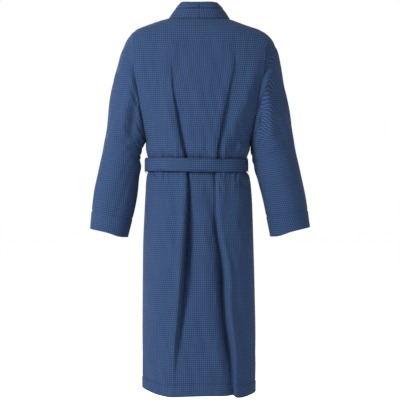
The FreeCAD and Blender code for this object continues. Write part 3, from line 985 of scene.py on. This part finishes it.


# The knot: one wrap of the belt that crosses over the others, a flattened closed turn of cloth. The two
# bands that come into it from the waist are made apart, by makeKnotLead.
def makeKnot():
    low, high = (np.array(corner) for corner in nodeBox["belt_knot"])
    middle = (low + high) / 2
    reach = (high - low) / 2
    turn = np.linspace(0, 2 * math.pi, 72, endpoint=False)
    deep, tall = reach[1] - 0.0035, reach[2] - 0.004
    radius = np.stack([0 * turn, np.cos(turn) * deep, np.sin(turn) * tall], axis=1)
    slant = np.stack([np.sin(turn) * 0.007, 0 * turn, 0 * turn], axis=1)
    wrap = middle + radius + slant
    across = np.linspace(-1, 1, 17)[None, :]
    wide = 0.0165 + 0.0035 * np.cos(turn * 2 + 0.4)[:, None]
    crimp = 0.0014 * np.sin(across * 11 + np.sin(turn)[:, None] * 1.4) * (1 - across**2)
    outward = np.stack([0 * turn, np.cos(turn), np.sin(turn)], axis=1)
    pinch = -0.0045 * across**2 + crimp
    grid = wrap[:, None] + np.array([1.0, 0, 0.16]) * (across * wide)[..., None]
    grid = grid + outward[:, None] * pinch[..., None]
    grid = np.concatenate([grid, grid[:1]], axis=0)
    obj = gridMesh("belt_knot_wrap", grid, flip=True)
    finishCloth(obj, beltCloth, 0.0038, side=-1.0, soft=0.0012)
    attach(obj, "robe")
    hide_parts("belt_knot")


# A band that comes from the waist into the knot on one side, turning edge down as it goes in.
def makeKnotLead(label, side):
    low, high = nodeBox["belt_knot"]
    middle = (np.array(low) + np.array(high)) / 2
    path = [middle + np.array(p) for p in (
        (side * 0.0275, 0.0115, 0.000), (side * 0.020, 0.004, 0.0035 * side),
        (side * 0.010, -0.0035, 0.006 * side), (0.0, -0.0050, 0.007 * side))]
    path = smoothPath(path, 30)
    t = np.linspace(0, 1, 30)
    wideWay = np.stack([-0.25 * side + 0 * t, 0 * t, 1 + 0 * t], axis=1)
    width = 0.040 - 0.010 * ramp(t, 0, 1)
    obj = bandAlong(label + "_knot_lead", path, wideWay, width, beltWrap, 86 + side)
    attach(obj, "robe")
    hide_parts("belt_knot")


beltLoop = dict(past=0.0045, seat=0.001, across=(0.94, 0.5, 0.06), gap=0.0004, flat=0.010, steps=40)


# A narrow loop of tape at the side seam that the belt runs through, sewn at its two ends.
def makeBeltLoop(label, side):
    top, foot = beltHigh + beltLoop["past"], beltLow - beltLoop["past"]
    turn = 0.0 if side > 0 else math.pi
    seat = bodyPoint(np.array([top, foot]), turn)[:, 0] + side * beltLoop["seat"]
    across = np.array(beltLoop["across"])
    stand = belt["wide"] + belt["thick"] / 2 + beltStand(np.full(len(across), turn), across)
    edge = belt["shift"] + side * (stand + beltLoop["gap"])
    path = [(seat[0], 0, top), (edge[0], 0, beltHigh), (edge[1], 0, beltMiddle + beltLoop["flat"]),
            (edge[1], 0, beltMiddle - beltLoop["flat"]), (edge[2], 0, beltLow), (seat[1], 0, foot)]
    path = smoothPath(path, beltLoop["steps"])
    wideWay = np.tile([0, -1.0 * side, 0], (len(path), 1))
    obj = bandAlong(label + "_belt_loop", path, wideWay, tape["width"], tapeWrap, 90, 0.0001, 0.0002)
    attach(obj, "robe")
    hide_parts("belt_loop_" + label)


pocket = dict(
    inner=0.067,
    outer=0.170,
    top=-0.612,
    low=-0.794,
    wide=0.105,
    tall=0.182,
    hem=0.034,
    gape=0.007,
    rows=80,
    cols=60,
)


# A patch pocket on a front: it lies on the cloth, stands off a little towards its top, where it is
# turned down in a doubled hem, and is sewn along its other three edges.
def makePocket(label, side):
    fold = pocket["hem"] / pocket["tall"]
    down = crowded(pocket["rows"], (0.0, fold, 1.0), 0.012, 3.0)[:, None]
    z = pocket["top"] + (pocket["low"] - pocket["top"]) * down
    across = crowded(pocket["cols"], (0.0, 1.0), 0.02, 3.0)[None, :]
    nearest = bodySize(z, 0.4 if side > 0 else math.pi - 0.4)[0]
    outer = np.minimum(pocket["outer"], nearest * 0.955)
    angle = frontAngle(side, pocket["inner"] + (outer - pocket["inner"]) * (1 - across), z)
    hem = 0.0016 * ramp(down, fold + 0.008, fold - 0.008)
    edge = np.minimum(np.minimum(across, 1 - across) * pocket["wide"], (1 - down) * pocket["tall"])
    seat = 0.0022 * ramp(edge, 0.0, 0.004) - 0.0010 * bell(edge - 0.006, 0.0014)
    gape = pocket["gape"] * np.sin(np.pi * across) ** 1.5 * (1 - down) ** 2.2
    puff = 0.0030 * np.sin(np.pi * across) * np.sin(np.pi * np.clip(down, 0, 1)) ** 0.7
    out = 0.0026 + seat + hem + gape + puff
    grid = frontPoint(side, angle, z + 0 * angle, out)
    obj = gridMesh(label + "_patch_pocket", grid, flip=side > 0)
    finishCloth(obj, bodyCloth, 0.0026, soft=0.0009)
    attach(obj, "robe")
    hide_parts("pocket_" + label)


# The hanging loop inside the neck: a tape that droops between its two sewn ends.
def makeHangLoop():
    low, high = nodeBox["hang_loop"]
    across = np.linspace(-1, 1, 60)
    depth = (low[1] + high[1]) / 2
    x = across * (high[0] - 0.004)
    z = high[2] - 0.004 + (low[2] + 0.006 - high[2]) * (1 - np.abs(across) ** 2.4)
    y = depth + 0.0004 * np.sin(across * 9)
    path = np.stack([x, y, z], axis=1)
    wideWay = np.tile([0, 0.0, -1.0], (60, 1))
    obj = bandAlong("hanging_loop_tape", path, wideWay, 0.010, tapeWrap, 91, 0.0001, 0.0002)
    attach(obj, "hang_loop")
    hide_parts("hang_loop")


# The blank woven label inside the back of the neck.
def makeLabel():
    low, high = nodeBox["neck_label"]
    z = np.linspace(high[2], low[2], 20)[:, None]
    x = np.linspace(high[0], low[0], 30)[None, :]
    middle = (low[1] + high[1]) / 2
    y = middle - 0.0006 * np.cos(x * 120) * (z - low[2]) / (high[2] - low[2])
    grid = np.stack([x + 0 * y, y, z + 0 * y], axis=-1)
    obj = gridMesh("blank_neck_label", grid)
    finishCloth(obj, labelCloth, 0.0009, side=0.0)
    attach(obj, "robe")
    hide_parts("neck_label")


makeBack()
for label, side in (("left", 1), ("right", -1)):
    makeFront(label, side)
    makeBand(label, side)
    makeSleeve(label, side)
    makeTail(label, side)
    makeKnotLead(label, side)
    makeBeltLoop(label, side)
    makePocket(label, side)
makeBelt()
makeKnot()
makeHangLoop()
makeLabel()
print("cloth pieces made")

studio = dict(
    floor=-1.37,
    away=4.8,
    sideways=-0.003,
    level=-0.588,
    lens=132.9,
    white=(1.0, 1.0, 1.0),
    sky=1.0,
    key=133.0,
    keyPlace=(2.2, 1.95, 0.45),
    keySize=0.8,
    fill=70.0,
    fillPlace=(1.3, -2.8, 0.7),
    fillSize=1.4,
    aim=(0.0, 0.0, -0.55),
)


# A pale floor well below the robe, a white surround, a soft lamp behind on the wearer's left and a
# weaker one in front.
def makeStudio():
    bpy.ops.mesh.primitive_plane_add(size=60, location=(0, 0, studio["floor"]))
    floor = bpy.context.object
    floor.name = "studio_floor"
    paint = bpy.data.materials.new("studio white")
    paint.use_nodes = True
    shader = paint.node_tree.nodes["Principled BSDF"]
    shader.inputs["Base Color"].default_value = (*studio["white"], 1)
    shader.inputs["Roughness"].default_value = 1.0
    floor.data.materials.append(paint)
    world = bpy.data.worlds.new("studio surround")
    bpy.context.scene.world = world
    world.use_nodes = True
    surround = world.node_tree.nodes["Background"]
    surround.inputs["Color"].default_value = (*studio["white"], 1)
    surround.inputs["Strength"].default_value = studio["sky"]
    for name in ("key", "fill"):
        lamp = bpy.data.lights.new(name + " lamp", "AREA")
        lamp.energy = studio[name]
        lamp.size = studio[name + "Size"]
        holder = bpy.data.objects.new(name + " lamp", lamp)
        bpy.context.collection.objects.link(holder)
        holder.location = studio[name + "Place"]
        aim = Vector(studio["aim"]) - holder.location
        holder.rotation_euler = aim.to_track_quat("-Z", "Y").to_euler()
    lens = bpy.data.cameras.new("camera")
    lens.lens = studio["lens"]
    lens.sensor_width = 36.0
    camera = bpy.data.objects.new("camera", lens)
    bpy.context.collection.objects.link(camera)
    camera.location = (studio["sideways"], studio["away"], studio["level"])
    camera.rotation_euler = (math.radians(90), 0, math.radians(180))
    bpy.context.scene.camera = camera


makeStudio()
bpy.context.scene.view_settings.view_transform = "Standard"
print("studio lit")
